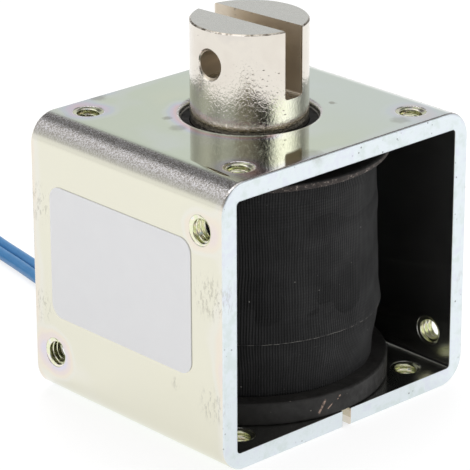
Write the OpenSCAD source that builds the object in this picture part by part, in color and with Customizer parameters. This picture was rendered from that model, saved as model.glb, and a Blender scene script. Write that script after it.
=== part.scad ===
// Open-frame push-pull solenoid: a bent steel frame round a taped coil, a clevis plunger
// that seats in a coned fixed core, and two leads that leave the coil's foot at the back.
// Millimetres. The origin is the centre of the frame's bottom face, on the plunger's axis.
// +Z points up along the plunger, -Y is the open front and -X the labelled wall.

/* [Frame] */
// Depth, which is the width of the strip that is bent
frame_d = 38; // [34:0.5:50]
// Height over the top and bottom walls
frame_h = 40; // [36:0.5:60]
// Thickness of the strip
wall = 2.5; // [2:0.1:3]
// Clearance between the bobbin's rims and the side walls
side_gap = 1.05; // [0.3:0.05:3]
// Inside radius of the four bends
bend_r = 0.6; // [0.3:0.1:1.5]
// Outside radius of the four bends, where the strip thins
corner_r = 4; // [3:0.1:6]
// Rounding of the strip's outer edges
edge_r = 0.4; // [0.2:0.1:0.8]
// Gap of the butt seam in the bottom wall
seam_gap = 1.6; // [0.4:0.1:3]
// Clearance of the top wall's bore round the bobbin's neck
bore_gap = 0.12; // [0.05:0.01:0.4]
// Rounding of the punched bore's upper edge
bore_edge_r = 0.4; // [0.1:0.05:0.8]

/* [Tapped holes] */
// Nominal diameter of the holes' M4 thread
tap_d = 4; // [2.5:0.1:4.5]
// Chamfer at each mouth
tap_chamfer = 0.15; // [0.1:0.05:0.4]
// Distance of every hole's centre from the nearer edge of the strip
hole_inset = 4.2; // [3:0.1:4.6]
// Distance of every hole's centre from the outer face round the nearest bend
bend_inset = 6.8; // [6.2:0.1:10]

/* [Plunger] */
// Diameter of the plunger
plunger_d = 16; // [12:0.1:17]
// Height of the plunger's top above the frame, fully in
plunger_out = 13.2; // [12:0.1:25]
// Turn of the clevis slot about the plunger's axis
plunger_turn = 5; // [-90:1:90]
// Chamfer round the top rim
plunger_chamfer = 0.2; // [0.1:0.05:1]
// Width of the clevis slot
slot_w = 3.4; // [2:0.1:5]
// Depth of the clevis slot
slot_depth = 9.5; // [7.5:0.1:11]
// Fillet in the slot's bottom corners
slot_r = 0.4; // [0.1:0.1:0.9]
// Diameter of the clevis pin's hole
pin_d = 3.7; // [2:0.1:5]
// Depth of that hole's centre below the plunger's top
pin_drop = 4.75; // [3.5:0.05:6]
// Chamfer at that hole's mouths
pin_chamfer = 0.2; // [0.1:0.05:0.4]
// Diameter of the flat end of the coned nose
nose_d = 7.2; // [6.4:0.1:8]
// Angle between the nose's sides
nose_angle = 60; // [50:1:90]

/* [Fixed core] */
// Height of the core above the bottom wall
core_h = 14; // [12:0.1:18]
// Depth of the cone-shaped cup in its top
cup_depth = 6; // [3:0.1:6.5]
// Clearance of the cup round the plunger's nose
cup_gap = 0.3; // [0.2:0.05:0.6]
// Diameter of the spigot that is staked in the bottom wall
spigot_d = 10; // [8:0.1:12]
// Width and height of the spigot's staked lip
stake = 0.5; // [0.2:0.1:0.8]
// Depth of the staked end inside the bottom face
stake_drop = 0.15; // [0.05:0.05:0.4]
// Diameter of the bore for a push pin
push_bore_d = 4.2; // [3:0.1:5]
// Thickness of the brass shim between the core and the plunger's nose
shim_t = 0.5; // [0.2:0.1:1]
// Radial clearance of the shim in the cup
shim_gap = 0.2; // [0.1:0.05:0.4]

/* [Bobbin] */
// Distance of both flanges' rims inside the strip's edges
rim_inset = 0.05; // [0.05:0.05:1]
// Thickness of the foot, the thick lower flange that holds the leads
foot_t = 3.2; // [2.6:0.1:5]
// Thickness of the upper flange
flange_t = 1; // [0.8:0.1:2]
// Wall of the bobbin's tube
tube_wall = 1.2; // [0.8:0.1:1.6]
// Radial running clearance of the plunger and the core in the tube
run_gap = 0.08; // [0.03:0.01:0.1]
// Depth of the tube's end inside the frame's top face
neck_drop = 1; // [0.1:0.1:1.5]
// Rounding of the flanges' rims
rim_r = 0.3; // [0.1:0.05:0.4]
// Pressed height of the wave washer that clamps the upper flange
washer_h = 1.2; // [0.6:0.1:1.5]
// Thickness of the wave washer's strip
washer_t = 0.3; // [0.2:0.05:0.5]
// Width of the wave washer's ring
washer_w = 3; // [1.5:0.1:5]

/* [Coil wrap] */
// Distance of the wrap's fullest turn inside the flanges' rims
wrap_inset = 1; // [0.5:0.1:3]
// Thickness of each tape
tape_t = 0.3; // [0.15:0.05:0.5]
// Height of the upper tape's lower edge above the foot
tape_edge = 7.9; // [4:0.1:14]
// Overlap of the upper tape on the lower one
tape_lap = 2; // [1:0.1:4]
// Clearance between the winding, the tapes and the bobbin's tube
layer_gap = 0.05; // [0.02:0.01:0.1]

/* [Label] */
// Width of the blank label, along Y
label_w = 28.1; // [10:0.1:30]
// Height of the blank label, along Z
label_h = 18.9; // [8:0.1:22]
// Thickness of the label
label_t = 0.12; // [0.08:0.01:0.2]
// Corner radius of the label
label_r = 2; // [0.5:0.1:4]
// Offset of the label's middle towards the back
label_y = 0.95; // [-1:0.05:1.5]
// Offset of the label's middle above the wall's middle
label_z = 1.85; // [-2:0.05:3]

/* [Leads] */
// Outer diameter of a lead's insulation
lead_d = 1.8; // [1.4:0.1:1.9]
// Length of each lead from its channel to the end of its insulation
lead_length = 200; // [185:1:215]
// Distance between the two leads where they leave the foot
lead_pitch = 2.6; // [2.3:0.1:4]
// Depth of the channels that the foot holds the leads in
channel_l = 5; // [3:0.5:6]
// Clearance of a channel round its lead
channel_gap = 0.1; // [0.05:0.05:0.2]
// Diameter of the tinned strands at a lead's end
strand_d = 0.9; // [0.5:0.1:1.2]
// Bare length of the tinned strands
strand_l = 5; // [3:0.5:8]
// Width of the tie on the stored coil
tie_w = 2; // [1.5:0.1:3]
// Thickness of the tie's strap
tie_t = 0.4; // [0.3:0.1:0.6]

/* [Hidden] */
$fn = 64;
eps = 0.5;

plunger_r = plunger_d / 2;
tube_r = plunger_r + run_gap;
neck_r = tube_r + tube_wall;
bore_r = neck_r + bore_gap;
bobbin_r = frame_d / 2 - rim_inset;
frame_w = 2 * (bobbin_r + side_gap + wall);

// Distances of the holes' centres from the frame's middle planes
hole_x = frame_w / 2 - bend_inset;
hole_y = frame_d / 2 - hole_inset;
side_hole_z = frame_h / 2 - bend_inset;

// Levels from the floor up
foot_z = wall;
coil_z0 = foot_z + foot_t;
coil_z1 = frame_h - wall - washer_h - flange_t;
core_z = wall + core_h;
cup_z = core_z - cup_depth;
nose_z = cup_z + shim_t;
plunger_top = frame_h + plunger_out;
pin_z = plunger_top - pin_drop;
lap_z0 = coil_z0 + tape_edge;
lap_z1 = lap_z0 + tape_lap;

// The nose's cone and the cup round it
nose_r = nose_d / 2;
cone_slope = tan(nose_angle / 2);
cup_r = nose_r + cup_gap / cos(nose_angle / 2);
cup_rim_r = cup_r + (cup_depth - shim_t) * cone_slope;

// How far the wrap lies inside its fullest radius, as [share of the height, inset]
WRAP_FORM = [[0, 0.75], [0.25, 0], [0.4, 0.4], [0.5, 0.5], [0.6, 1], [0.76, 0.55], [0.87, 0.9], [1, 0.5]];
// Greatest height between two points of its outline
WRAP_STEP = 1.3;
layer_depth = tape_t + layer_gap;

// Middle line between the two leads, from the channels' ends to the stored coil
lead_r = lead_d / 2;
exit_z = foot_z + foot_t / 2;
exit_y = bobbin_r - channel_l;
exit_x = -2;
LEAD_ROUTE = [[-2, 19, 4.1], [-2, 22, 3.9], [-1.7, 26, 3.2], [-1.2, 30, 2.1], [-0.4, 34, 1.3],
              [0.4, 38, 1], [1.2, 42, 0.9], [1.9, 46, 0.9], [2.7, 50, 0.9], [3.5, 54, 0.9],
              [4.2, 58, 0.9], [4.9, 62, 0.9], [5.4, 65, 1], [5.7, 68, 1.2], [5.9, 71, 1.3]];
// Points of the route that each lead follows, up to the outer face of the stored coil
LEAD_POINTS = [14, 15];
// The stored coil: each lead has a track of its own, two turns high
store_x = -4.8;
store_y = 76;
store_r = 10.8;
store_layers = 2;
store_h = store_layers * lead_d;
tie_gap = 0.05;
tie_angle = 200;

// ---- Shared shapes ----

module rounded_rect(w, h, r) {
    square([w, h - 2 * r], center = true);
    square([w - 2 * r, h], center = true);
    for (x = [-1, 1], y = [-1, 1])
        translate([x * (w / 2 - r), y * (h / 2 - r)])
            circle(r);
}

// The waste outside a rounded edge whose corner is at the origin
module edge_waste(r) {
    difference() {
        translate([-r, -r])
            square(r + eps);
        translate([-r, -r])
            circle(r);
    }
}

// Sweeps a profile round a rounded rectangle: x is outward from the outline, y along Z
module round_outline(w, h, r) {
    for (k = [0:3]) {
        half = (k % 2 == 0 ? w : h) / 2;
        run = (k % 2 == 0 ? h : w) - 2 * r;
        rotate(90 * k) {
            translate([half, 0, 0])
                rotate([90, 0, 0])
                    linear_extrude(run, center = true)
                        children();
            translate([half - r, run / 2, 0])
                rotate_extrude(angle = 90)
                    translate([r, 0])
                        children();
        }
    }
}

// A hole down -Z from the origin through a thickness t, chamfered at both mouths
module chamfered_hole(d, t, chamfer) {
    translate([0, 0, -t - eps])
        cylinder(d = d, h = t + 2 * eps);
    for (end = [0, 1])
        translate([0, 0, -t * end])
            mirror([0, 0, end])
                translate([0, 0, -chamfer])
                    cylinder(r1 = d / 2, r2 = d / 2 + chamfer + eps, h = chamfer + eps);
}

// A disc with rounded rims, standing on the origin
module rimmed_disc(r, t, rim) {
    rotate_extrude() {
        square([r - rim, t]);
        translate([0, rim])
            square([r, t - 2 * rim]);
        for (z = [rim, t - rim])
            translate([r - rim, z])
                circle(rim, $fn = 24);
    }
}

module ring(r_out, r_in, h) {
    difference() {
        cylinder(r = r_out, h = h);
        translate([0, 0, -eps])
            cylinder(r = r_in, h = h + 2 * eps);
    }
}

// ---- Frame ----

module end_holes() {
    for (x = [-1, 1], y = [-1, 1])
        translate([x * hole_x, y * hole_y, 0])
            chamfered_hole(tap_d, wall, tap_chamfer);
}

// One side wall's two holes on their diagonal: high at the front and low at the back
module side_holes() {
    for (s = [-1, 1])
        translate([-frame_w / 2, s * hole_y, frame_h / 2 - s * side_hole_z])
            rotate([0, -90, 0])
                chamfered_hole(tap_d, wall, tap_chamfer);
}

// The waste outside the rounding of the bore's upper edge
module bore_edge() {
    translate([0, 0, frame_h])
        rotate_extrude()
            difference() {
                translate([0, -bore_edge_r])
                    square([bore_r + bore_edge_r, bore_edge_r + eps]);
                translate([bore_r + bore_edge_r, -bore_edge_r])
                    circle(bore_edge_r, $fn = 32);
            }
}

module frame() {
    color("gainsboro")
        difference() {
            translate([0, 0, frame_h / 2])
                rotate([90, 0, 0])
                    difference() {
                        linear_extrude(frame_d, center = true)
                            difference() {
                                rounded_rect(frame_w, frame_h, corner_r);
                                rounded_rect(frame_w - 2 * wall, frame_h - 2 * wall, bend_r);
                            }
                        for (end = [0, 1])
                            mirror([0, 0, end])
                                round_outline(frame_w, frame_h, corner_r)
                                    translate([0, frame_d / 2])
                                        edge_waste(edge_r);
                    }
            translate([0, 0, frame_h - wall - eps])
                cylinder(r = bore_r, h = wall + 2 * eps);
            bore_edge();
            translate([0, 0, frame_h])
                end_holes();
            translate([0, 0, wall])
                end_holes();
            side_holes();
            rotate(180)
                side_holes();
            spigot(stake_drop + eps);
            translate([-seam_gap / 2, -frame_d / 2 - eps, -eps])
                cube([seam_gap, frame_d + 2 * eps, wall + 2 * eps]);
        }
}

// ---- Fixed core, shim and plunger ----

// The staked spigot, reaching below the bottom wall's recess by extra
module spigot(extra = 0) {
    translate([0, 0, stake_drop - extra])
        cylinder(d = spigot_d, h = wall - stake_drop + extra);
    translate([0, 0, stake_drop])
        cylinder(r1 = spigot_d / 2 + stake, r2 = spigot_d / 2, h = stake);
    if (extra > 0)
        translate([0, 0, stake_drop - extra])
            cylinder(r = spigot_d / 2 + stake, h = extra);
}

module fixed_core() {
    color("darkgray")
        difference() {
            union() {
                spigot();
                translate([0, 0, wall])
                    cylinder(r = plunger_r, h = core_h);
            }
            translate([0, 0, -eps])
                cylinder(d = push_bore_d, h = core_z);
            translate([0, 0, cup_z])
                cylinder(r = cup_r, h = shim_t);
            translate([0, 0, nose_z])
                cylinder(r1 = cup_r, r2 = cup_rim_r, h = cup_depth - shim_t);
            translate([0, 0, core_z - eps / 10])
                cylinder(r = cup_rim_r, h = eps);
        }
}

module residual_shim() {
    color("goldenrod")
        translate([0, 0, cup_z])
            ring(cup_r - shim_gap, push_bore_d / 2, shim_t);
}

module plunger() {
    shoulder_z = nose_z + (plunger_r - nose_r) / cone_slope;
    color("silver")
        rotate(plunger_turn)
            difference() {
                rotate_extrude()
                    polygon([[0, nose_z], [nose_r, nose_z], [plunger_r, shoulder_z],
                             [plunger_r, plunger_top - plunger_chamfer],
                             [plunger_r - plunger_chamfer, plunger_top], [0, plunger_top]]);
                translate([0, 0, plunger_top])
                    rotate([90, 0, 0])
                        linear_extrude(2 * plunger_d, center = true)
                            rounded_rect(slot_w, 2 * slot_depth, slot_r);
                translate([0, 0, pin_z])
                    rotate([0, 90, 0]) {
                        cylinder(d = pin_d, h = 2 * plunger_d, center = true);
                        for (end = [0, 1])
                            mirror([0, 0, end])
                                translate([0, 0, sqrt(plunger_r ^ 2 - pin_d ^ 2 / 4) - pin_chamfer])
                                    cylinder(r1 = pin_d / 2, r2 = pin_d / 2 + plunger_r, h = plunger_r);
                    }
            }
}

// ---- Bobbin, winding and tapes ----

module lead_channels() {
    for (s = [-1, 1])
        translate([exit_x + s * lead_pitch / 2, exit_y, exit_z])
            rotate([-90, 0, 0])
                cylinder(r = lead_r + channel_gap, h = 2 * channel_l, $fn = 32);
}

module bobbin() {
    color("dimgray")
        difference() {
            union() {
                translate([0, 0, foot_z])
                    rimmed_disc(bobbin_r, foot_t, rim_r);
                translate([0, 0, coil_z1])
                    rimmed_disc(bobbin_r, flange_t, rim_r);
                translate([0, 0, foot_z])
                    cylinder(r = neck_r, h = frame_h - neck_drop - foot_z);
            }
            translate([0, 0, -eps])
                cylinder(r = tube_r, h = frame_h + 2 * eps);
            lead_channels();
        }
}

// A flat strip bent into three waves, whose crests touch the flange and the top wall
module wave_washer() {
    steps = 72;
    waves = 3;
    points = [for (k = [0:steps - 1])
        let (lift = (washer_h - washer_t) * (1 - cos(360 * waves * k / steps)) / 2)
        for (p = [[bore_r, 0], [bore_r + washer_w, 0], [bore_r + washer_w, washer_t], [bore_r, washer_t]])
            [p[0] * cos(360 * k / steps), p[0] * sin(360 * k / steps), coil_z1 + flange_t + lift + p[1]]];
    faces = [for (k = [0:steps - 1], c = [0:3])
        let (a = 4 * k, b = 4 * ((k + 1) % steps), d = (c + 1) % 4)
        for (face = [[a + c, b + c, b + d], [a + c, b + d, a + d]])
            face];
    color("slategray")
        polyhedron(points, faces);
}

// Eases from one wrap inset to the next along the coil's height
function wrap_inset_at(share, i = 0) =
    share <= WRAP_FORM[i + 1][0] || i == len(WRAP_FORM) - 2
        ? let (a = WRAP_FORM[i], b = WRAP_FORM[i + 1], t = (share - a[0]) / (b[0] - a[0]))
          a[1] + (b[1] - a[1]) * (1 - cos(180 * t)) / 2
        : wrap_inset_at(share, i + 1);

function wrap_r(z) =
    bobbin_r - wrap_inset - wrap_inset_at((z - coil_z0) / (coil_z1 - coil_z0));

// Even steps from z0 up to just below z1
function steps_up(z0, z1) =
    let (steps = ceil((z1 - z0) / WRAP_STEP))
    [for (i = [0:steps - 1]) z0 + (z1 - z0) * i / steps];

// Every layer of the wrap has its points at these heights, so that the layers nest
WRAP_LEVELS = concat(steps_up(coil_z0, lap_z0), steps_up(lap_z0, lap_z1),
                     steps_up(lap_z1, coil_z1), [coil_z1]);

// The wrap's outline from z0 to z1, a depth inside its outer face
function wrap_line(z0, z1, depth) =
    [for (z = WRAP_LEVELS) if (z >= z0 && z <= z1) [wrap_r(z) - depth, z]];

function reversed(list) = [for (i = [len(list) - 1:-1:0]) list[i]];

module wrap_shell(z0, z1, depth) {
    rotate_extrude()
        polygon(concat(wrap_line(z0, z1, depth), reversed(wrap_line(z0, z1, depth + tape_t))));
}

module tape_lower() {
    color("black")
        wrap_shell(coil_z0, lap_z1, layer_depth);
}

module tape_upper() {
    color("black")
        wrap_shell(lap_z0, coil_z1, 0);
}

module winding() {
    color("chocolate")
        rotate_extrude()
            polygon(concat([[neck_r + layer_gap, coil_z1], [neck_r + layer_gap, coil_z0]],
                           wrap_line(coil_z0, lap_z1, 2 * layer_depth),
                           wrap_line(lap_z1, coil_z1, layer_depth)));
}

// ---- Label ----

module label() {
    color("whitesmoke")
        translate([-frame_w / 2, label_y, frame_h / 2 + label_z])
            rotate([0, -90, 0])
                linear_extrude(label_t)
                    rounded_rect(label_h, label_w, label_r);
}

// ---- Leads ----

function unit(v) = v / norm(v);

// The route's own direction at a point, and the level direction to its side
function along(path, i) = unit(path[min(i + 1, len(path) - 1)] - path[max(i - 1, 0)]);
function beside(path, i) = unit(cross([0, 0, 1], along(path, i)));

// One lead's centreline: side is -1 or 1, and the pair closes up after the exit
function lead_path(side) =
    concat([[exit_x + side * lead_pitch / 2, exit_y, exit_z]],
           [for (i = [0:LEAD_POINTS[side < 0 ? 0 : 1] - 1])
               let (gap = i < 2 ? lead_pitch : i < 5 ? lead_d + 0.3 : lead_d + 0.1)
               LEAD_ROUTE[i] - side * gap / 2 * beside(LEAD_ROUTE, i)]);

function path_length(path, i = 1) =
    i == len(path) ? 0 : norm(path[i] - path[i - 1]) + path_length(path, i + 1);

// Angle on the stored coil at which a lead's insulation ends
function tip_angle(side) =
    let (path = lead_path(side), end = path[len(path) - 1], track_r = store_r + side * lead_r)
    atan2(end[1] - store_y, end[0] - store_x) + (lead_length - path_length(path)) / track_r * 180 / PI;

// A closed tube of eight sides along a path
module tube(path, r, sides = 8) {
    rings = len(path);
    points = [for (i = [0:rings - 1], k = [0:sides - 1])
        let (a = along(path, i), s = beside(path, i), u = cross(a, s), w = 360 * k / sides)
        path[i] + r * (cos(w) * s + sin(w) * u)];
    walls = [for (i = [0:rings - 2], k = [0:sides - 1])
        let (n = (k + 1) % sides)
        [i * sides + k, (i + 1) * sides + k, (i + 1) * sides + n, i * sides + n]];
    ends = [[for (k = [0:sides - 1]) k],
            [for (k = [sides - 1:-1:0]) (rings - 1) * sides + k]];
    polyhedron(points, concat(walls, ends));
}

module lead(side) {
    color("steelblue")
        tube(lead_path(side), lead_r);
}

module lead_a() {
    lead(-1);
}

module lead_b() {
    lead(1);
}

// The ring that one lead's stored turns fill
module lead_coil(side) {
    inner_r = store_r + (side < 0 ? -lead_d : 0);
    color("steelblue")
        translate([store_x, store_y, tie_t])
            ring(inner_r + lead_d, inner_r, store_h);
}

module lead_coil_a() {
    lead_coil(-1);
}

module lead_coil_b() {
    lead_coil(1);
}

module lead_tie() {
    inner = [2 * lead_d + 2 * tie_gap, tie_w + 2 * eps, store_h + tie_gap];
    outer = [inner[0] + 2 * tie_t, tie_w, store_h + tie_gap + 2 * tie_t];
    color("ivory")
        translate([store_x, store_y, 0])
            rotate(tie_angle)
                translate([store_r, 0, outer[2] / 2])
                    difference() {
                        cube(outer, center = true);
                        cube(inner, center = true);
                    }
}

// A lead's tinned end, which lies on the stored coil
module lead_tip(side) {
    track_r = store_r + side * lead_r;
    color("silver")
        translate([store_x, store_y, tie_t + store_h + lead_r])
            rotate(tip_angle(side))
                translate([track_r, 0, 0])
                    rotate([-90, 0, 0])
                        cylinder(d = strand_d, h = strand_l, $fn = 24);
}

module lead_tip_a() {
    lead_tip(-1);
}

module lead_tip_b() {
    lead_tip(1);
}

frame();
fixed_core();
residual_shim();
bobbin();
wave_washer();
winding();
tape_lower();
tape_upper();
label();
plunger();
lead_a();
lead_b();
lead_coil_a();
lead_coil_b();
lead_tie();
lead_tip_a();
lead_tip_b();
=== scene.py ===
"""Looks of the push-pull solenoid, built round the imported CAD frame."""
from math import atan2, cos, degrees, hypot, pi, radians, sin, tau

import bmesh
import bpy
from mathutils import Matrix, Vector

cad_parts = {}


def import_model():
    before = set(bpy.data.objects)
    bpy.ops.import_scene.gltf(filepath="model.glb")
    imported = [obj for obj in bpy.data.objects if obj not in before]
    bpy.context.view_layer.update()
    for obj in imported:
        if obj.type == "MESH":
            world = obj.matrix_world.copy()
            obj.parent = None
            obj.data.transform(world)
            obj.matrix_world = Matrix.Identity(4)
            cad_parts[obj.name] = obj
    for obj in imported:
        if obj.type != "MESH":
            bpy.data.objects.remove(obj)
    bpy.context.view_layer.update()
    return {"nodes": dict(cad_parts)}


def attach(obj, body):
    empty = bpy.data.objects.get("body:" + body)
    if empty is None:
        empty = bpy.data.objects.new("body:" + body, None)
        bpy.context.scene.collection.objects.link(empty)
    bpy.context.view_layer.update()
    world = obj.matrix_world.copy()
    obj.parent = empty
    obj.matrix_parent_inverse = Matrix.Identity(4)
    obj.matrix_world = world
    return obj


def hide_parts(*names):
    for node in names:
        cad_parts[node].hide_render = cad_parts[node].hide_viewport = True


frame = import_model()
NODES = frame["nodes"]
SCENE = bpy.context.scene
MM = 0.001

# The part's own sizes, in millimetres
FRAME_W, FRAME_H, WALL = 45.0, 40.0, 2.5
HOLE_X, HOLE_Y = 15.7, 14.8
SIDE_HOLE_Z = 13.2
TAP_R = 2.0
BORE_R = 9.4
PLUNGER_R = 8.0
COIL_Z0, COIL_Z1 = 5.7, 35.3
LAP_Z0, LAP_Z1 = 13.6, 15.6


# ---- Node materials ----

def linear(r, g, b):
    """An sRGB colour, each channel 0 to 255, as the linear one that nodes take."""
    def channel(c):
        c /= 255
        return c / 12.92 if c <= 0.04045 else ((c + 0.055) / 1.055) ** 2.4
    return (channel(r), channel(g), channel(b), 1.0)


def grey(value):
    """A linear grey, as nodes take it."""
    return (value, value, value, 1.0)


class Nodes:
    """Short calls that add nodes to one tree and return output sockets."""

    def __init__(self, tree):
        self.tree = tree

    def put(self, socket, value):
        if isinstance(value, bpy.types.NodeSocket):
            self.tree.links.new(value, socket)
        elif value is not None:
            socket.default_value = value

    def add(self, kind, inputs=(), out=0, **settings):
        node = self.tree.nodes.new(kind)
        for key, value in settings.items():
            setattr(node, key, value)
        for key, value in dict(inputs).items():
            self.put(node.inputs[key], value)
        return node.outputs[out]

    def math(self, operation, a, b=None, c=None, clamp=False):
        node = self.tree.nodes.new("ShaderNodeMath")
        node.operation = operation
        node.use_clamp = clamp
        for i, value in enumerate((a, b, c)):
            self.put(node.inputs[i], value)
        return node.outputs[0]

    def times(self, a, b):
        return self.math("MULTIPLY", a, b)

    def plus(self, a, b):
        return self.math("ADD", a, b)

    def minus(self, a, b):
        return self.math("SUBTRACT", a, b)

    def size(self, a):
        return self.math("ABSOLUTE", a)

    def between(self, value, low, high, to_low=0.0, to_high=1.0, smooth=True):
        """Eases from to_low at low to to_high at high."""
        return self.add("ShaderNodeMapRange", {
            "Value": value, "From Min": low, "From Max": high, "To Min": to_low, "To Max": to_high,
        }, interpolation_type="SMOOTHSTEP" if smooth else "LINEAR")

    def mix(self, factor, a, b, blend="MIX"):
        node = self.tree.nodes.new("ShaderNodeMix")
        node.data_type = "RGBA"
        node.blend_type = blend
        node.clamp_factor = True
        self.put(node.inputs[0], factor)
        self.put(node.inputs[6], a)
        self.put(node.inputs[7], b)
        return node.outputs[2]

    def ramp(self, factor, stops, mode="EASE"):
        node = self.tree.nodes.new("ShaderNodeValToRGB")
        ramp = node.color_ramp
        ramp.interpolation = mode
        while len(ramp.elements) < len(stops):
            ramp.elements.new(1.0)
        for element, (place, colour) in zip(ramp.elements, stops):
            element.position = place
            element.color = colour
        self.put(node.inputs[0], factor)
        return node.outputs[0]

    def noise(self, vector, scale, detail=2.0, roughness=0.5, distortion=0.0):
        return self.add("ShaderNodeTexNoise", {
            "Vector": vector, "Scale": scale, "Detail": detail, "Roughness": roughness, "Distortion": distortion})

    def cells(self, vector, scale, feature="F1", randomness=1.0, out="Distance"):
        return self.add("ShaderNodeTexVoronoi", {
            "Vector": vector, "Scale": scale, "Randomness": randomness}, out=out, feature=feature)

    def split(self, vector):
        node = self.tree.nodes.new("ShaderNodeSeparateXYZ")
        self.put(node.inputs[0], vector)
        return node.outputs

    def join(self, x, y, z):
        return self.add("ShaderNodeCombineXYZ", {0: x, 1: y, 2: z})

    def scaled(self, vector, factors):
        return self.add("ShaderNodeVectorMath", {0: vector, 1: factors}, operation="MULTIPLY")

    def distance(self, a, b):
        return self.add("ShaderNodeVectorMath", {0: a, 1: b}, out="Value", operation="DISTANCE")

    def rounded(self, radius):
        """The normal of edges rounded to a radius in millimetres"""
        return self.add("ShaderNodeBevel", {"Radius": radius * MM}, samples=6)

    def bump(self, height, strength, distance, normal=None):
        """distance in millimetres"""
        return self.add("ShaderNodeBump", {
            "Height": height, "Strength": strength, "Distance": distance * MM, "Normal": normal})


class Material(Nodes):
    """A principled material that works in the part's own millimetres."""

    def __init__(self, name, **values):
        self.material = bpy.data.materials.new(name)
        self.material.use_nodes = True
        super().__init__(self.material.node_tree)
        self.shader = self.tree.nodes["Principled BSDF"]
        place = self.tree.nodes.new("ShaderNodeTexCoord")
        self.here = self.scaled(place.outputs["Object"], (1000, 1000, 1000))
        self.facing = place.outputs["Normal"]
        self.x, self.y, self.z = self.split(self.here)
        self.nx, self.ny, self.nz = self.split(self.facing)
        self.set(**values)

    def set(self, **values):
        for key, value in values.items():
            self.put(self.shader.inputs[key.replace("_", " ")], value)
        return self

    def on(self, obj):
        obj.data.materials.clear()
        obj.data.materials.append(self.material)
        return obj

    def from_axis(self):
        """How far a point is from the plunger's axis."""
        return self.distance(self.join(self.x, self.y, 0.0), (0.0, 0.0, 0.0))

    def spot(self, centre, reach, wobble=None):
        """1 at a marked place on the surface, falling to 0 at its reach."""
        away = self.distance(self.here, centre)
        if wobble is not None:
            away = self.plus(away, wobble)
        return self.between(away, reach, reach * 0.35)

    def stroke(self, a, b, width):
        """1 along a straight mark from a to b."""
        a, b = Vector(a), Vector(b)
        run = b - a
        to_here = self.add("ShaderNodeVectorMath", {0: self.here, 1: a}, operation="SUBTRACT")
        share = self.add("ShaderNodeVectorMath", {0: to_here, 1: run / run.length_squared},
                         out="Value", operation="DOT_PRODUCT")
        along = self.add("ShaderNodeVectorMath", {0: run}, operation="SCALE")
        self.put(along.node.inputs["Scale"], self.math("ADD", share, 0, clamp=True))
        return self.between(self.distance(to_here, along), width, width * 0.3)


# ---- Meshes ----

def mesh_object(name, points, faces, body="housing", smooth=True):
    mesh = bpy.data.meshes.new(name)
    mesh.from_pydata([tuple(c * MM for c in p) for p in points], [], faces)
    mesh.validate()
    build = bmesh.new()
    build.from_mesh(mesh)
    bmesh.ops.recalc_face_normals(build, faces=build.faces)
    build.to_mesh(mesh)
    build.free()
    mesh.polygons.foreach_set("use_smooth", [smooth] * len(mesh.polygons))
    obj = bpy.data.objects.new(name, mesh)
    SCENE.collection.objects.link(obj)
    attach(obj, body)
    return obj


def closed_grid(rows, columns):
    """Faces of a grid of points that closes on itself both ways."""
    faces = []
    for i in range(rows):
        for k in range(columns):
            n, m = (i + 1) % rows, (k + 1) % columns
            faces.append((i * columns + k, n * columns + k, n * columns + m, i * columns + m))
    return faces


def line_object(name, points, radius, material, body="housing", sides=4):
    """A round strand along points in millimetres."""
    curve = bpy.data.curves.new(name, "CURVE")
    curve.dimensions = "3D"
    curve.bevel_depth = radius * MM
    curve.bevel_resolution = sides
    curve.use_fill_caps = True
    spline = curve.splines.new("POLY")
    spline.points.add(len(points) - 1)
    for point, place in zip(spline.points, points):
        point.co = (*(c * MM for c in place), 1.0)
    spline.use_smooth = True
    obj = bpy.data.objects.new(name, curve)
    SCENE.collection.objects.link(obj)
    obj.data.materials.append(material.material)
    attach(obj, body)
    return obj


def smooth_path(points, step=0.6):
    """Points about a step apart on a smooth curve through the given ones."""
    points = [Vector(p) for p in points]
    ends = [2 * points[0] - points[1], *points, 2 * points[-1] - points[-2]]
    result = []
    for a, b, c, d in zip(ends, ends[1:], ends[2:], ends[3:]):
        count = max(2, round((c - b).length / step))
        for i in range(count):
            t = i / count
            result.append(0.5 * ((2 * b) + (c - a) * t + (2 * a - 5 * b + 4 * c - d) * t ** 2
                                 + (3 * b - a - 3 * c + d) * t ** 3))
    return result + [points[-1]]


def ease(value, low, high):
    t = min(1.0, max(0.0, (value - low) / (high - low)))
    return t * t * (3 - 2 * t)


# ---- Camera ----

AZIMUTH, ELEVATION, ROLL = radians(42.74), radians(21.66), radians(-0.211)
AIM = Vector((-0.959, 1.917, 21.906)) * MM
DISTANCE = 0.39024
SENSOR_W, LENS = 36, 219.31

forward = Vector((sin(AZIMUTH) * cos(ELEVATION), cos(AZIMUTH) * cos(ELEVATION), -sin(ELEVATION)))
right = Vector((cos(AZIMUTH), -sin(AZIMUTH), 0))
up = right.cross(forward)
camera = bpy.data.objects.new("camera", bpy.data.cameras.new("camera"))
camera.data.sensor_width = SENSOR_W
camera.data.lens = LENS
camera.data.clip_start = 0.01
turned_right = cos(ROLL) * right + sin(ROLL) * up
turned_up = cos(ROLL) * up - sin(ROLL) * right
camera.matrix_world = Matrix.Translation(AIM - DISTANCE * forward) @ Matrix(
    (turned_right, turned_up, -forward)).transposed().to_4x4()
SCENE.collection.objects.link(camera)
SCENE.camera = camera


# ---- Leads ----

LEAD_D = 1.8
LEAD_LENGTH = 200.0
LEAD_PITCH = 2.6
EXIT = Vector((-2, 13.95, 4.1))
ROUTE = [Vector(p) for p in (
    (-2, 19, 4.1), (-2, 22, 3.9), (-1.7, 26, 3.2), (-1.2, 30, 2.1), (-0.4, 34, 1.3),
    (0.4, 38, 1), (1.2, 42, 0.9), (1.9, 46, 0.9), (2.7, 50, 0.9), (3.5, 54, 0.9),
    (4.2, 58, 0.9), (4.9, 62, 0.9), (5.4, 65, 1), (5.7, 68, 1.2), (5.9, 71, 1.3))]
ROUTE_POINTS = {-1: 14, 1: 15}
STORE = Vector((-4.8, 76, 0))
STORE_R = 10.8
TIE_T = 0.4
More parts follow.
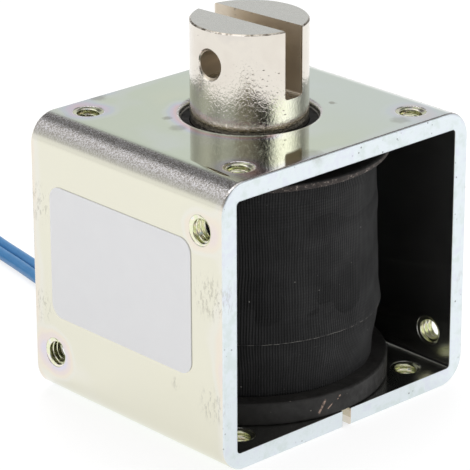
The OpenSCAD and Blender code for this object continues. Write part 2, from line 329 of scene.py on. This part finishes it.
# Where each lead settles on its track, and the angles between which it climbs to the next layer
SETTLE = {-1: -10, 1: 2}
CLIMB = {-1: (298, 326), 1: (286, 313)}
# Degrees between two points on the stored coil
COIL_STEP = 3.0
# The bare strands: length, middle radius and how far the strands stand out, and radians of twist in a millimetre
STRAND_LENGTH, STRAND_R, STRAND_LOBE, STRAND_TWIST = 5.0, 0.40, 0.07, 0.9


def lead_route(side):
    """One lead's points from its channel to the stored coil."""
    result = [EXIT + Vector((side * LEAD_PITCH / 2, 0, 0))]
    for i in range(ROUTE_POINTS[side]):
        # The leads leave the foot at the pitch of its channels, then draw together
        gap = LEAD_PITCH if i < 2 else LEAD_D + (0.3 if i < 5 else 0.1)
        along = ROUTE[min(i + 1, len(ROUTE) - 1)] - ROUTE[max(i - 1, 0)]
        beside = Vector((0, 0, 1)).cross(along).normalized()
        result.append(ROUTE[i] - side * gap / 2 * beside)
    return result


def path_length(points):
    return sum((b - a).length for a, b in zip(points, points[1:]))


def stored_height(side, angle):
    """Height of a lead's middle after it has turned to an angle on the stored coil."""
    low, high = CLIMB[side]
    layers = sum(ease(angle, low + turn, high + turn) for turn in (0, 360))
    return TIE_T + LEAD_D * (0.5 + layers)


def lead_path(side):
    route = smooth_path(lead_route(side))
    last = route[-1] - STORE
    last_r, last_angle = hypot(last.x, last.y), degrees(atan2(last.y, last.x))
    track_r = STORE_R + side * LEAD_D / 2
    path, angle = route, last_angle
    while path_length(path) < LEAD_LENGTH:
        angle += COIL_STEP
        t = ease(angle, last_angle, SETTLE[side])
        radius = last_r + (track_r - last_r) * (t ** 0.75)
        height = last.z + (stored_height(side, angle) - last.z) * t
        path = path + [STORE + Vector((radius * cos(radians(angle)), radius * sin(radians(angle)), height))]
    return path


def strands(name, start, direction, body="housing"):
    """The bare tinned strands at a lead's end: a tight twist round one middle strand."""
    direction = direction.normalized()
    side = direction.cross(Vector((0, 0, 1))).normalized()
    top = side.cross(direction)
    points, faces, columns, rows = [], [], 36, 24
    for i in range(rows):
        s = STRAND_LENGTH * i / (rows - 1)
        for k in range(columns):
            w = tau * k / columns
            lobe = abs(sin(3 * (w - s * STRAND_TWIST)))
            r = (STRAND_R + STRAND_LOBE * lobe) * (1.0 if i < rows - 1 else 0.8)
            points.append(start + direction * s + r * (cos(w) * side + sin(w) * top))
    for i in range(rows - 1):
        for k in range(columns):
            m = (k + 1) % columns
            faces.append((i * columns + k, (i + 1) * columns + k, (i + 1) * columns + m, i * columns + m))
    faces.append(tuple(range(columns)))
    faces.append(tuple((rows - 1) * columns + k for k in reversed(range(columns))))
    return mesh_object(name, points, faces, body)


def lead_materials():
    blue = Material("blue_insulation", Roughness=0.34, IOR=1.5)
    blue.set(Specular_IOR_Level=0.5)
    tone = blue.noise(blue.here, 0.35, 3)
    blue.set(Base_Color=blue.mix(tone, linear(54, 116, 170), linear(88, 144, 194)),
             Normal=blue.bump(blue.noise(blue.here, 2.2, 3), 0.35, 0.05))
    tinned = Material("tinned_strands", Metallic=1.0, Roughness=0.3)
    tinned.set(Base_Color=tinned.mix(tinned.noise(tinned.here, 3.0), linear(205, 205, 203), linear(235, 234, 230)),
               Normal=tinned.bump(tinned.noise(tinned.here, 6.0), 0.3, 0.03))
    return blue, tinned


BLUE, TINNED = lead_materials()
for side, tag in ((-1, "a"), (1, "b")):
    path = lead_path(side)
    lead = line_object("lead_" + tag + "_wire", path, LEAD_D / 2, BLUE, sides=5)
    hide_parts("lead_" + tag, "lead_coil_" + tag)
    tip = strands("strands_" + tag, path[-1] - 0.2 * (path[-1] - path[-2]), path[-1] - path[-2])
    TINNED.on(tip)
    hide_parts("lead_tip_" + tag)


# ---- Threads in the tapped holes ----

THREAD_PITCH = 0.7
# Deeper than a true thread, so that as little shows through the holes as in the photograph
THREAD_DEPTH = 0.56
HOLE_MOUTH = 0.10
# How far the thread's roots and the sleeve's back lie in the hole's wall
ROOT_SINK, SLEEVE_SINK = 0.012, 0.06


def thread(name, middle, axis):
    """The thread of one tapped hole: a thin sleeve on the hole's wall, ridged inside."""
    columns, rows = 48, 40
    reach = WALL / 2 - HOLE_MOUTH + 0.05
    axis = Vector(axis)
    across = Vector((0, 1, 0)) if abs(axis.y) < 0.5 else Vector((1, 0, 0))
    other = axis.cross(across)
    points = []
    for i in range(rows + 1):
        s = -reach + 2 * reach * i / rows
        for k in range(columns):
            w = tau * k / columns
            phase = (s / THREAD_PITCH - w / tau) % 1.0
            ridge = 1 - min(1.0, abs(phase - 0.5) / 0.42)
            ridge = min(1.0, ridge * 1.25)
            fade = ease(reach - abs(s), 0.0, 0.12)
            r = TAP_R + ROOT_SINK - THREAD_DEPTH * ridge * fade
            points.append(Vector(middle) + s * axis + r * (cos(w) * across + sin(w) * other))
    for s in (reach, -reach):
        for k in range(columns):
            w = tau * k / columns
            points.append(Vector(middle) + s * axis + (TAP_R + SLEEVE_SINK) * (cos(w) * across + sin(w) * other))
    return mesh_object(name, points, closed_grid(rows + 3, columns))


def thread_material():
    zinc = Material("thread_zinc", Metallic=1.0, Roughness=0.17)
    tone = zinc.noise(zinc.here, 1.1, 2)
    zinc.set(Base_Color=zinc.ramp(tone, [
        (0.3, linear(238, 236, 208)), (0.5, linear(230, 234, 202)), (0.62, linear(244, 236, 222)),
        (0.75, linear(226, 236, 232))]))
    zinc.set(Normal=zinc.bump(zinc.noise(zinc.here, 9.0, 3), 0.3, 0.02))
    return zinc


THREAD_ZINC = thread_material()
TAPPED = []
for sx in (-1, 1):
    for sy in (-1, 1):
        tag = ("left" if sx < 0 else "right") + ("_front" if sy < 0 else "_back")
        TAPPED.append(("thread_top_" + tag, (sx * HOLE_X, sy * HOLE_Y, FRAME_H - WALL / 2), (0, 0, 1)))
        TAPPED.append(("thread_bottom_" + tag, (sx * HOLE_X, sy * HOLE_Y, WALL / 2), (0, 0, 1)))
        # On each side wall the two holes lie on one diagonal
        z = FRAME_H / 2 + (SIDE_HOLE_Z if sx * sy > 0 else -SIDE_HOLE_Z)
        TAPPED.append(("thread_side_" + tag, (sx * (FRAME_W - WALL) / 2, sy * HOLE_Y, z), (1, 0, 0)))
for name, middle, axis in TAPPED:
    THREAD_ZINC.on(thread(name, middle, axis))


# ---- Frame ----

# Radii to which the material rounds the frame's edges and that of the punched bore
EDGE_R, BORE_EDGE_R = 0.25, 0.7


def zinc_frame():
    m = Material("zinc_plate")
    ax, ay, az = m.size(m.x), m.size(m.y), m.size(m.minus(m.z, FRAME_H / 2))
    # Where this point is: on a cut edge, a bend, inside, or one of the outer faces
    cut = m.times(m.between(m.size(m.ny), 0.45, 0.8), m.between(ay, 18.2, 18.6))
    bend = m.times(m.times(m.between(m.nz, 0.28, 0.70), m.between(m.nz, 0.9985, 0.95)), m.between(m.z, 35.5, 36.5))
    inside = m.times(m.between(ax, 20.2, 20.1), m.between(az, 17.7, 17.6))
    radius = m.from_axis()
    bore_wall = m.times(m.between(radius, BORE_R + 0.12, BORE_R + 0.04), m.between(m.z, 39.3, 39.0))

    # Distance from the nearest tapped hole's axis
    end_hole = m.distance(m.join(ax, ay, 0.0), (HOLE_X, HOLE_Y, 0.0))
    w = m.times(m.y, m.math("SIGN", m.x))
    diagonal = m.math("SIGN", m.times(w, m.minus(m.z, FRAME_H / 2)))
    side_hole = m.plus(m.distance(m.join(m.size(w), az, 0.0), (HOLE_Y, SIDE_HOLE_Z, 0.0)),
                       m.between(diagonal, 0.5, -0.5, 0.0, 30.0, smooth=False))
    on_end = m.between(m.size(m.nz), 0.6, 0.8)
    hole = m.plus(m.times(on_end, end_hole), m.times(m.minus(1.0, on_end), side_hole))

    # Interference colours of the passivation, as a film that thickens at edges and round holes
    drift = m.noise(m.here, 0.055, 2.5, 0.5, 0.6)
    fine = m.noise(m.here, 0.3, 3, 0.55)
    rim = m.between(ay, 16.0, 19.0)
    ring = m.between(hole, 4.8, 2.1)
    bore_ring = m.times(m.between(radius, 12.6, 9.4), m.between(m.x, -2.0, -6.0))
    film = m.plus(m.times(drift, 0.62), m.plus(m.times(fine, 0.10), 0.06))
    film = m.plus(film, m.plus(m.times(rim, 0.16), m.times(ring, 0.24)))
    film = m.plus(film, m.times(m.times(bore_ring, on_end), 0.42))
    side_tone = m.ramp(film, [
        (0.28, linear(227, 225, 208)), (0.46, linear(226, 224, 208)), (0.54, linear(228, 226, 215)),
        (0.61, linear(231, 223, 209)), (0.68, linear(228, 217, 213)), (0.76, linear(217, 213, 227)),
        (0.84, linear(210, 218, 228)), (0.93, linear(220, 226, 213))])
    end_tone = m.ramp(film, [
        (0.30, linear(230, 238, 216)), (0.44, linear(226, 236, 216)), (0.54, linear(230, 238, 228)),
        (0.62, linear(224, 232, 238)), (0.69, linear(234, 224, 238)), (0.76, linear(244, 218, 220)),
        (0.84, linear(226, 236, 224)), (0.92, linear(206, 234, 234))])
    end_tone = m.mix(m.between(m.x, -4.0, 14.0, 0.0, 0.6), end_tone, linear(230, 240, 238))
    tone = m.mix(on_end, side_tone, end_tone)

    bend_tone = m.ramp(m.noise(m.here, 4.2, 2, 0.7), [
        (0.38, linear(190, 184, 180)), (0.5, linear(228, 224, 220)), (0.6, linear(255, 252, 255))])
    tone = m.mix(bend, tone, bend_tone)
    cut_tone = m.ramp(m.noise(m.here, 0.5, 3, 0.6), [
        (0.3, linear(216, 226, 226)), (0.5, linear(226, 234, 238)), (0.7, linear(222, 227, 236))])
    tone = m.mix(cut, tone, cut_tone)
    tone = m.mix(m.times(inside, m.minus(1.0, cut)), tone, linear(208, 208, 204))
    tone = m.mix(bore_wall, tone, linear(252, 252, 248))

    # Marks: pits along the cut edges, rubbed patches on the side walls, stains on the top
    pits = m.between(m.cells(m.here, 1.25), 0.20, 0.10)
    pit_place = m.between(m.noise(m.here, 0.42, 2), 0.56, 0.64)
    pits = m.times(m.times(pits, pit_place), cut)
    tone = m.mix(m.times(pits, 0.75), tone, linear(96, 100, 98))
    smear = m.noise(m.scaled(m.here, (1.0, 1.0, 0.35)), 2.6, 3, 0.7)
    for centre, reach, strength in RUBS:
        mark = m.times(m.spot(centre, reach), m.between(smear, 0.5, 0.62))
        tone = m.mix(m.times(mark, strength), tone, linear(150, 146, 132))
    wobble = m.times(m.minus(m.noise(m.here, 1.4, 3), 0.5), 1.2)
    for centre, reach, strength in STAINS:
        tone = m.mix(m.times(m.spot(centre, reach, wobble), strength), tone, linear(112, 100, 78))
    scratch = m.stroke((-22.3, -4.1, 38.4), (-21.2, -4.5, 39.6), 0.10)
    tone = m.mix(scratch, tone, linear(250, 250, 248))
    m.set(Base_Color=tone)

    rough = m.between(fine, 0.3, 0.7, 0.06, 0.09)
    rough = m.plus(rough, m.times(bend, 0.10))
    rough = m.plus(rough, m.times(cut, 0.26))
    rough = m.plus(rough, m.times(inside, 0.14))
    # The punched wall of the bore is matt
    m.set(Roughness=m.plus(rough, m.times(bore_wall, 0.5)), Metallic=m.minus(1.0, bore_wall))

    rolled = m.noise(m.scaled(m.here, (0.25, 2.4, 2.4)), 1.0, 3, 0.6)
    # The edges are a little rounded, and those of the punched bore more
    edge = m.mix(m.between(radius, BORE_R + 1.2, BORE_R + 0.9), m.rounded(EDGE_R), m.rounded(BORE_EDGE_R))
    normal = m.bump(rolled, 0.12, 0.02, edge)
    grain = m.noise(m.here, 4.5, 2, 0.65)
    normal = m.bump(m.times(grain, m.plus(0.02, bend)), 0.6, 0.05, normal)
    normal = m.bump(m.times(m.noise(m.here, 3.0, 3, 0.65), cut), 0.3, 0.08, normal)
    normal = m.bump(m.minus(1.0, pits), 0.5, 0.08, normal)
    m.set(Normal=normal)
    return m


# Places in millimetres, how far each mark reaches, and how strong it is
RUBS = [((-22.5, -16.8, 24.5), 4.2, 0.4), ((-22.5, -16.9, 9.5), 3.2, 0.35), ((-22.5, 17.4, 28.0), 3.6, 0.35),
        ((-22.5, 17.6, 13.0), 3.2, 0.3), ((-22.5, -10.0, 10.4), 1.2, 0.3),
        ((22.5, 16.8, 26.0), 4.0, 0.4), ((22.5, -17.0, 15.0), 3.4, 0.35)]
STAINS = [((-9.8, 5.5, 40.0), 0.9, 0.45), ((-11.4, 1.6, 40.0), 1.6, 0.35), ((10.5, -5.2, 40.0), 0.7, 0.5),
          ((12.1, -16.3, 40.0), 1.8, 0.3), ((-11.2, 18.3, 40.0), 1.7, 0.4), ((-5.6, -17.6, 40.0), 2.2, 0.3),
          ((6.0, 12.5, 40.0), 0.8, 0.3)]
zinc_frame().on(NODES["frame"])


# ---- Plunger and the steel inside ----

def nickel():
    m = Material("nickel_plate", Metallic=1.0)
    top = m.between(m.nz, 0.85, 0.95)
    # The chamfer round the top, where a dark reflection is painted further down
    rim = m.times(m.between(m.z, 52.85, 52.98), m.times(m.between(m.nz, 0.3, 0.5), m.between(m.nz, 0.9, 0.8)))
    radius = m.from_axis()
    bore = m.between(radius, PLUNGER_R - 0.05, PLUNGER_R - 0.25)
    tone = m.ramp(m.noise(m.here, 0.22, 3, 0.55), [
        (0.3, linear(219, 212, 202)), (0.55, linear(223, 217, 207)), (0.75, linear(216, 210, 202))])
    inner = m.times(bore, m.minus(1.0, top))
    tone = m.mix(inner, tone, linear(212, 200, 182))
    tone = m.mix(top, tone, linear(228, 228, 222))
    # The turned rim's chamfer gets a darker colour in broken dashes: a painted dark reflection, with bright breaks
    # where the nickel's own colour stays
    tone = m.mix(m.times(rim, m.between(m.noise(m.here, 0.8, 2), 0.42, 0.56)), tone, linear(120, 110, 98))
    pits = m.between(m.cells(m.scaled(m.here, (0.8, 0.8, 2.2)), 0.95), 0.17, 0.09)
    pits = m.times(pits, m.between(m.noise(m.here, 0.5, 2), 0.55, 0.62))
    pits = m.times(pits, m.minus(1.0, top))
    tone = m.mix(m.times(pits, 0.55), tone, linear(120, 104, 88))
    m.set(Base_Color=tone)
    rough = m.between(m.noise(m.here, 1.2, 3), 0.35, 0.65, 0.06, 0.10)
    rough = m.plus(rough, m.plus(m.times(top, 0.20), m.times(inner, 0.28)))
    m.set(Roughness=rough, Metallic=m.minus(1.0, m.times(inner, 0.15)))
    grain = m.noise(m.scaled(m.here, (1.15, 1.15, 0.75)), 2.8, 2, 0.62, 0.8)
    strength = m.minus(1.0, m.math("MAXIMUM", m.times(top, 0.9), m.times(bore, 0.85)))
    normal = m.bump(m.times(grain, strength), 0.5, 0.08)
    normal = m.bump(m.minus(1.0, pits), 0.6, 0.06, normal)
    m.set(Normal=normal)
    return m


def turned_steel():
    m = Material("core_steel", Metallic=1.0, Roughness=0.3)
    m.set(Base_Color=m.mix(m.noise(m.here, 0.5, 3), linear(150, 149, 146), linear(190, 189, 184)))
    rings = m.noise(m.join(0.0, 0.0, m.plus(m.z, m.from_axis())), 6.0, 2)
    m.set(Normal=m.bump(rings, 0.25, 0.04))
    return m


def plain_metal(name, low, high, roughness):
    m = Material(name, Metallic=1.0)
    tone = m.noise(m.here, 0.8, 3)
    m.set(Base_Color=m.mix(tone, linear(*low), linear(*high)),
          Roughness=m.between(tone, 0.3, 0.7, roughness - 0.05, roughness + 0.05),
          Normal=m.bump(m.noise(m.here, 5.0, 2), 0.25, 0.03))
    return m


nickel().on(NODES["plunger"])
turned_steel().on(NODES["fixed_core"])
plain_metal("shim_brass", (196, 168, 104), (222, 196, 128), 0.28).on(NODES["residual_shim"])
plain_metal("spring_steel", (120, 122, 124), (160, 162, 164), 0.3).on(NODES["wave_washer"])


# ---- Bobbin, winding and tape ----

# Scuffs on the foot's rim, in millimetres: from, to, and half width
FOOT_SCUFFS = [((-4.6, -18.5, 3.3), (-3.7, -18.7, 4.9), 0.28), ((-3.2, -18.7, 3.6), (-2.5, -18.8, 4.2), 0.12),
               ((-1.6, -18.9, 4.6), (-1.2, -18.9, 5.0), 0.14)]


def bobbin_plastic():
    m = Material("bobbin_plastic", IOR=1.5)
    m.set(Specular_IOR_Level=0.35)
    radius = m.from_axis()
    upper = m.times(m.between(m.z, 35.0, 35.2), m.times(m.between(radius, 18.2, 18.6), m.between(m.nz, 0.6, 0.3)))
    tone = m.ramp(m.noise(m.here, 0.45, 4, 0.6), [
        (0.3, linear(26, 25, 24)), (0.55, linear(34, 33, 32)), (0.75, linear(44, 42, 40))])
    # The upper flange's outer rim is coloured a lighter brownish grey in patches
    rim_patch_tone = m.ramp(m.noise(m.here, 2.4, 4, 0.7), [
        (0.40, linear(40, 35, 33)), (0.56, linear(66, 57, 53)), (0.66, linear(168, 158, 150))])
    tone = m.mix(m.times(upper, 0.8), tone, rim_patch_tone)
    # Above 36 mm the plastic is painted near-black: painted shade in the gap under the frame's top wall and in the
    # bore round the plunger
    tone = m.mix(m.between(m.z, 36.0, 36.2), tone, linear(14, 13, 13))
    flecks = m.times(m.between(m.cells(m.here, 0.7), 0.10, 0.05), m.between(m.z, 6.2, 5.4))
    tone = m.mix(m.times(flecks, 0.6), tone, linear(150, 142, 134))
    for a, b, width in FOOT_SCUFFS:
        worn = m.times(m.stroke(a, b, width), m.between(m.noise(m.here, 3.0, 2), 0.36, 0.55))
        tone = m.mix(worn, tone, linear(176, 150, 136))
    m.set(Base_Color=tone, Roughness=m.between(m.noise(m.here, 1.0, 3), 0.3, 0.7, 0.5, 0.68),
          Normal=m.bump(m.noise(m.here, 3.4, 4, 0.65), 0.5, 0.07))
    return m


def copper_wire():
    m = Material("copper_wire", Metallic=1.0, Roughness=0.3)
    turns = m.math("PINGPONG", m.z, 0.16)
    m.set(Base_Color=m.mix(m.noise(m.here, 0.6), linear(176, 96, 52), linear(206, 126, 74)),
          Normal=m.bump(turns, 0.8, 0.12))
    return m


bobbin_plastic().on(NODES["bobbin"])
copper_wire().on(NODES["winding"])

# The wrap's greatest radius, and how much less it is at shares of its height
WRAP_R = 17.95
WRAP_FORM = [(0, 0.75), (0.25, 0), (0.4, 0.4), (0.5, 0.5), (0.6, 1), (0.76, 0.55), (0.87, 0.9), (1, 0.5)]
# The tape's thickness, how much deeper the lower tape lies, and how far the upper tape's lower edge wanders
TAPE_T, LAYER, EDGE_WAVE = 0.3, 0.35, 0.12
# Ribs in one turn, and the pitch of the threads across them
RIBS, CROSS_PITCH = 290, 0.42


def wrap_radius(z):
    share = (z - COIL_Z0) / (COIL_Z1 - COIL_Z0)
    for (s0, a), (s1, b) in zip(WRAP_FORM, WRAP_FORM[1:]):
        if share <= s1:
            return WRAP_R - a - (b - a) * (1 - cos(pi * (share - s0) / (s1 - s0))) / 2
    return WRAP_R - WRAP_FORM[-1][1]


def waviness(w, z):
    """How far the hand-wound tape departs from a true round, at an angle and a height."""
    return 0.8 * (0.10 * sin(2 * w + 0.13 * z + 0.6) + 0.07 * sin(5 * w - 0.31 * z)
                  + 0.045 * sin(9 * w + 0.52 * z + 2.0) + 0.03 * sin(17 * w - 0.9 * z + 1.0) - 0.12)


def edge_form(w):
    """How the upper tape's lower edge rises and falls round the coil, from -1 to 1."""
    return 0.6 * sin(3 * w + 1.0) + 0.4 * sin(7 * w)


def tape(name, z0, z1, inset, edge_wave=0.0):
    columns, rows = 360, max(24, round((z1 - z0) * 3.2))
    points = []
    for i in range(rows + 1):
        for k in range(columns):
            w = tau * k / columns
            s = i / rows
            low = z0 + edge_wave * edge_form(w)
            z = low + (z1 - low) * s
            r = wrap_radius(min(max(z, COIL_Z0), COIL_Z1)) - inset + waviness(w, z)
            points.append((r * cos(w), r * sin(w), z))
    for i in (rows, 0):
        for k in range(columns):
            x, y, z = points[i * columns + k]
            shrink = 1 - TAPE_T / hypot(x, y)
            points.append((x * shrink, y * shrink, z))
    return mesh_object(name, points, closed_grid(rows + 3, columns))


def woven_tape():
    m = Material("black_tape", IOR=1.45)
    m.set(Specular_IOR_Level=0.3, Sheen_Weight=0.05, Sheen_Roughness=0.4)
    angle = m.math("ARCTAN2", m.y, m.x)
    # The ribs lean and wander a little, as the tape was pulled round
    wander = m.times(m.minus(m.noise(m.scaled(m.here, (1, 1, 0.6)), 0.16, 2), 0.5), 0.055)
    turn = m.plus(angle, wander)
    rib = m.math("SINE", m.times(turn, float(RIBS)))
    cross = m.math("SINE", m.times(m.z, tau / CROSS_PITCH))
    each = m.add("ShaderNodeTexWhiteNoise", {"W": m.math("FLOOR", m.times(turn, RIBS / tau))},
                 out="Value", noise_dimensions="1D")
    weave = m.plus(m.times(rib, 0.42), m.times(cross, 0.10))
    patch = m.noise(m.here, 0.28, 4, 0.6)
    tone = m.mix(m.between(weave, -0.5, 0.5), linear(9, 9, 10), linear(37, 37, 38))
    tone = m.mix(m.times(each, 0.30), tone, linear(46, 46, 47))
    tone = m.mix(m.times(patch, 0.5), tone, linear(20, 20, 20))
    specks = m.times(m.between(m.cells(m.here, 0.42), 0.055, 0.035), 0.75)
    lint = m.times(m.between(m.cells(m.here, 1.3), 0.075, 0.05), m.between(m.noise(m.here, 0.6, 2), 0.52, 0.6))
    tone = m.mix(m.math("MAXIMUM", specks, m.times(lint, 0.45)), tone, linear(128, 126, 122))
    m.set(Base_Color=tone, Roughness=m.between(patch, 0.3, 0.7, 0.62, 0.8))
    normal = m.bump(weave, 0.9, 0.09)
    m.set(Normal=m.bump(m.noise(m.here, 2.0, 3), 0.3, 0.06, normal))
    return m


TAPE = woven_tape()
lower = TAPE.on(tape("tape_lower_wrap", COIL_Z0 + 0.02, LAP_Z1, LAYER))
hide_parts("tape_lower")
upper = TAPE.on(tape("tape_upper_wrap", LAP_Z0, COIL_Z1 - 0.02, 0.0, edge_wave=EDGE_WAVE))
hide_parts("tape_upper")


def frayed_edge():
    """The pale thread along the upper tape's lower edge."""
    points = []
    for k in range(361):
        w = tau * k / 360
        z = LAP_Z0 + EDGE_WAVE * edge_form(w) + 0.02 * sin(60 * w)
        r = wrap_radius(z) + waviness(w, z) - 0.02
        points.append((r * cos(w), r * sin(w), z))
    return points


def grey_thread():
    m = Material("tape_thread", Roughness=0.8)
    m.set(Base_Color=m.mix(m.between(m.noise(m.here, 1.6, 3), 0.42, 0.6), linear(38, 38, 40), linear(112, 110, 106)))
    return m


THREAD = grey_thread()
line_object("tape_edge_thread", frayed_edge(), 0.045, THREAD, sides=2)


# ---- Label and tie ----

def label_stock():
    m = Material("label_stock", IOR=1.45, Roughness=0.42)
    m.set(Specular_IOR_Level=0.4)
    m.set(Base_Color=m.mix(m.noise(m.here, 0.3, 4, 0.6), linear(230, 230, 232), linear(235, 235, 236)),
          Normal=m.bump(m.noise(m.here, 3.0, 3), 0.15, 0.02))
    return m


def tie_plastic():
    m = Material("tie_plastic", IOR=1.5, Roughness=0.4)
    m.set(Base_Color=m.mix(m.noise(m.here, 0.8, 3), linear(226, 226, 220), linear(238, 238, 233)),
          Normal=m.bump(m.math("SINE", m.times(m.z, 16.0)), 0.3, 0.04))
    return m


label_stock().on(NODES["label"])
tie_plastic().on(NODES["lead_tie"])


# ---- Floor, light and background ----

# The floor's own light where it is seen, and the even light of the room on matt surfaces
FLOOR_GLOW, ROOM_FILL = 0.74, 0.53


def floor():
    bpy.ops.mesh.primitive_plane_add(size=8, location=(0, 0, -0.00002))
    plane = bpy.context.object
    plane.name = "floor"
    m = bpy.data.materials.new("floor")
    m.use_nodes = True
    n = Nodes(m.node_tree)
    m.node_tree.nodes.remove(m.node_tree.nodes["Principled BSDF"])
    ways = n.add("ShaderNodeLightPath").node.outputs
    seen = n.math("MAXIMUM", n.math("MAXIMUM", ways["Is Camera Ray"], ways["Is Glossy Ray"]),
                  ways["Is Transmission Ray"])
    # Rays that show the floor see it white with a light shadow, and its own light stays plain
    lit = n.add("ShaderNodeBsdfDiffuse", {"Color": n.mix(seen, grey(0.78), grey(0.34))})
    glow = n.add("ShaderNodeEmission", {"Color": grey(1.0), "Strength": n.times(seen, FLOOR_GLOW)})
    both = n.add("ShaderNodeAddShader", {0: lit, 1: glow})
    n.put(n.tree.nodes["Material Output"].inputs["Surface"], both)
    plane.data.materials.append(m)


# Brightness of the room round the object at the height that its flat top shows, by the share of a full turn:
# the camera's side is in the middle, dim and warm, with the tall softbox on its right
ROUND_THE_ROOM = [
    (0.0, 0.68), (0.14, 0.40), (0.25, 0.62), (0.32, 0.35), (0.36, 0.54), (0.40, 0.48), (0.44, 0.31), (0.50, 0.24),
    (0.54, 0.10), (0.565, 0.04), (0.59, 0.03), (0.607, 0.12), (0.63, 0.82), (0.645, 1.35), (0.67, 1.7), (0.72, 1.7),
    (0.765, 1.1), (0.80, 0.55), (0.84, 0.24), (0.89, 0.52), (1.0, 0.68)]
# Brightness by height, from straight down to straight up
UP_THE_ROOM = [
    (0.0, 0.93), (0.5, 0.98), (0.565, 0.92), (0.63, 0.78), (0.68, 0.68), (0.755, 0.46), (0.80, 0.16), (0.87, 0.10),
    (0.90, 0.22), (0.95, 0.85), (1.0, 1.1)]
CAMERA_SIDE, CAMERA_RIGHT = (-0.679, -0.734, 0.0), (0.734, -0.679, 0.0)
CEILING_LIGHT = (-0.3315, 0.1745, 0.927)
LAMPS_AIM = (0, 0, 0.02)


def world():
    w = bpy.data.worlds.new("studio")
    SCENE.world = w
    w.use_nodes = True
    n = Nodes(w.node_tree)
    background = n.tree.nodes["Background"]
    ways = n.add("ShaderNodeLightPath").node.outputs
    toward = n.add("ShaderNodeTexCoord", out="Generated")
    height = n.split(toward)[2]

    def along(direction):
        return n.add("ShaderNodeVectorMath", {0: toward, 1: direction}, out="Value", operation="DOT_PRODUCT")

    def greys(stops):
        return [(place, grey(value)) for place, value in stops]

    ahead, beside = along(CAMERA_SIDE), along(CAMERA_RIGHT)
    turn = n.plus(n.math("DIVIDE", n.math("ARCTAN2", beside, ahead), tau), 0.5)
    rooms = n.ramp(n.between(height, -1.0, 1.0, smooth=False), greys(UP_THE_ROOM), "LINEAR")
    left = n.times(n.between(turn, 0.12, 0.18), n.between(turn, 0.36, 0.32))
    rooms = n.mix(n.times(left, n.times(n.between(height, 0.34, 0.50), n.between(height, 0.85, 0.75))), rooms,
                  grey(0.70))
    ring = n.ramp(turn, greys(ROUND_THE_ROOM), "LINEAR")
    warm = n.times(n.between(turn, 0.40, 0.46), n.between(turn, 0.61, 0.58))
    ring = n.mix(n.times(warm, 0.9), ring, n.mix(1.0, ring, (1.0, 0.88, 0.78, 1), "MULTIPLY"))
    rooms = n.mix(n.times(n.between(height, 0.10, 0.26), n.between(height, 0.56, 0.44)), rooms, ring)
    # The light over the object, a little to the left of straight up
    rooms = n.mix(n.between(along(CEILING_LIGHT), 0.90, 0.93), rooms, grey(1.5))
    seen = n.math("MAXIMUM", ways["Is Camera Ray"], ways["Is Transmission Ray"])
    colour = n.mix(ways["Is Glossy Ray"], grey(ROOM_FILL), rooms)
    colour = n.mix(seen, colour, grey(1.0))
    n.put(background.inputs["Color"], colour)


def softbox(name, place, size, power):
    """A square lamp that faces the object and that no reflection shows."""
    lamp = bpy.data.lights.new(name, "AREA")
    lamp.shape = "RECTANGLE"
    lamp.size = lamp.size_y = size
    lamp.energy = power
    obj = bpy.data.objects.new(name, lamp)
    obj.location = place
    obj.rotation_euler = (Vector(LAMPS_AIM) - Vector(place)).to_track_quat("-Z", "Y").to_euler()
    obj.visible_glossy = False
    SCENE.collection.objects.link(obj)


floor()
world()
softbox("softbox_right", (0.55, -0.55, 0.42), 0.5, 2.8)
softbox("softbox_top", (0.30, 0.40, 0.85), 0.6, 3.4)
softbox("softbox_left", (-0.75, -0.10, 0.45), 0.5, 2.15)

SCENE.view_settings.view_transform = "Standard"
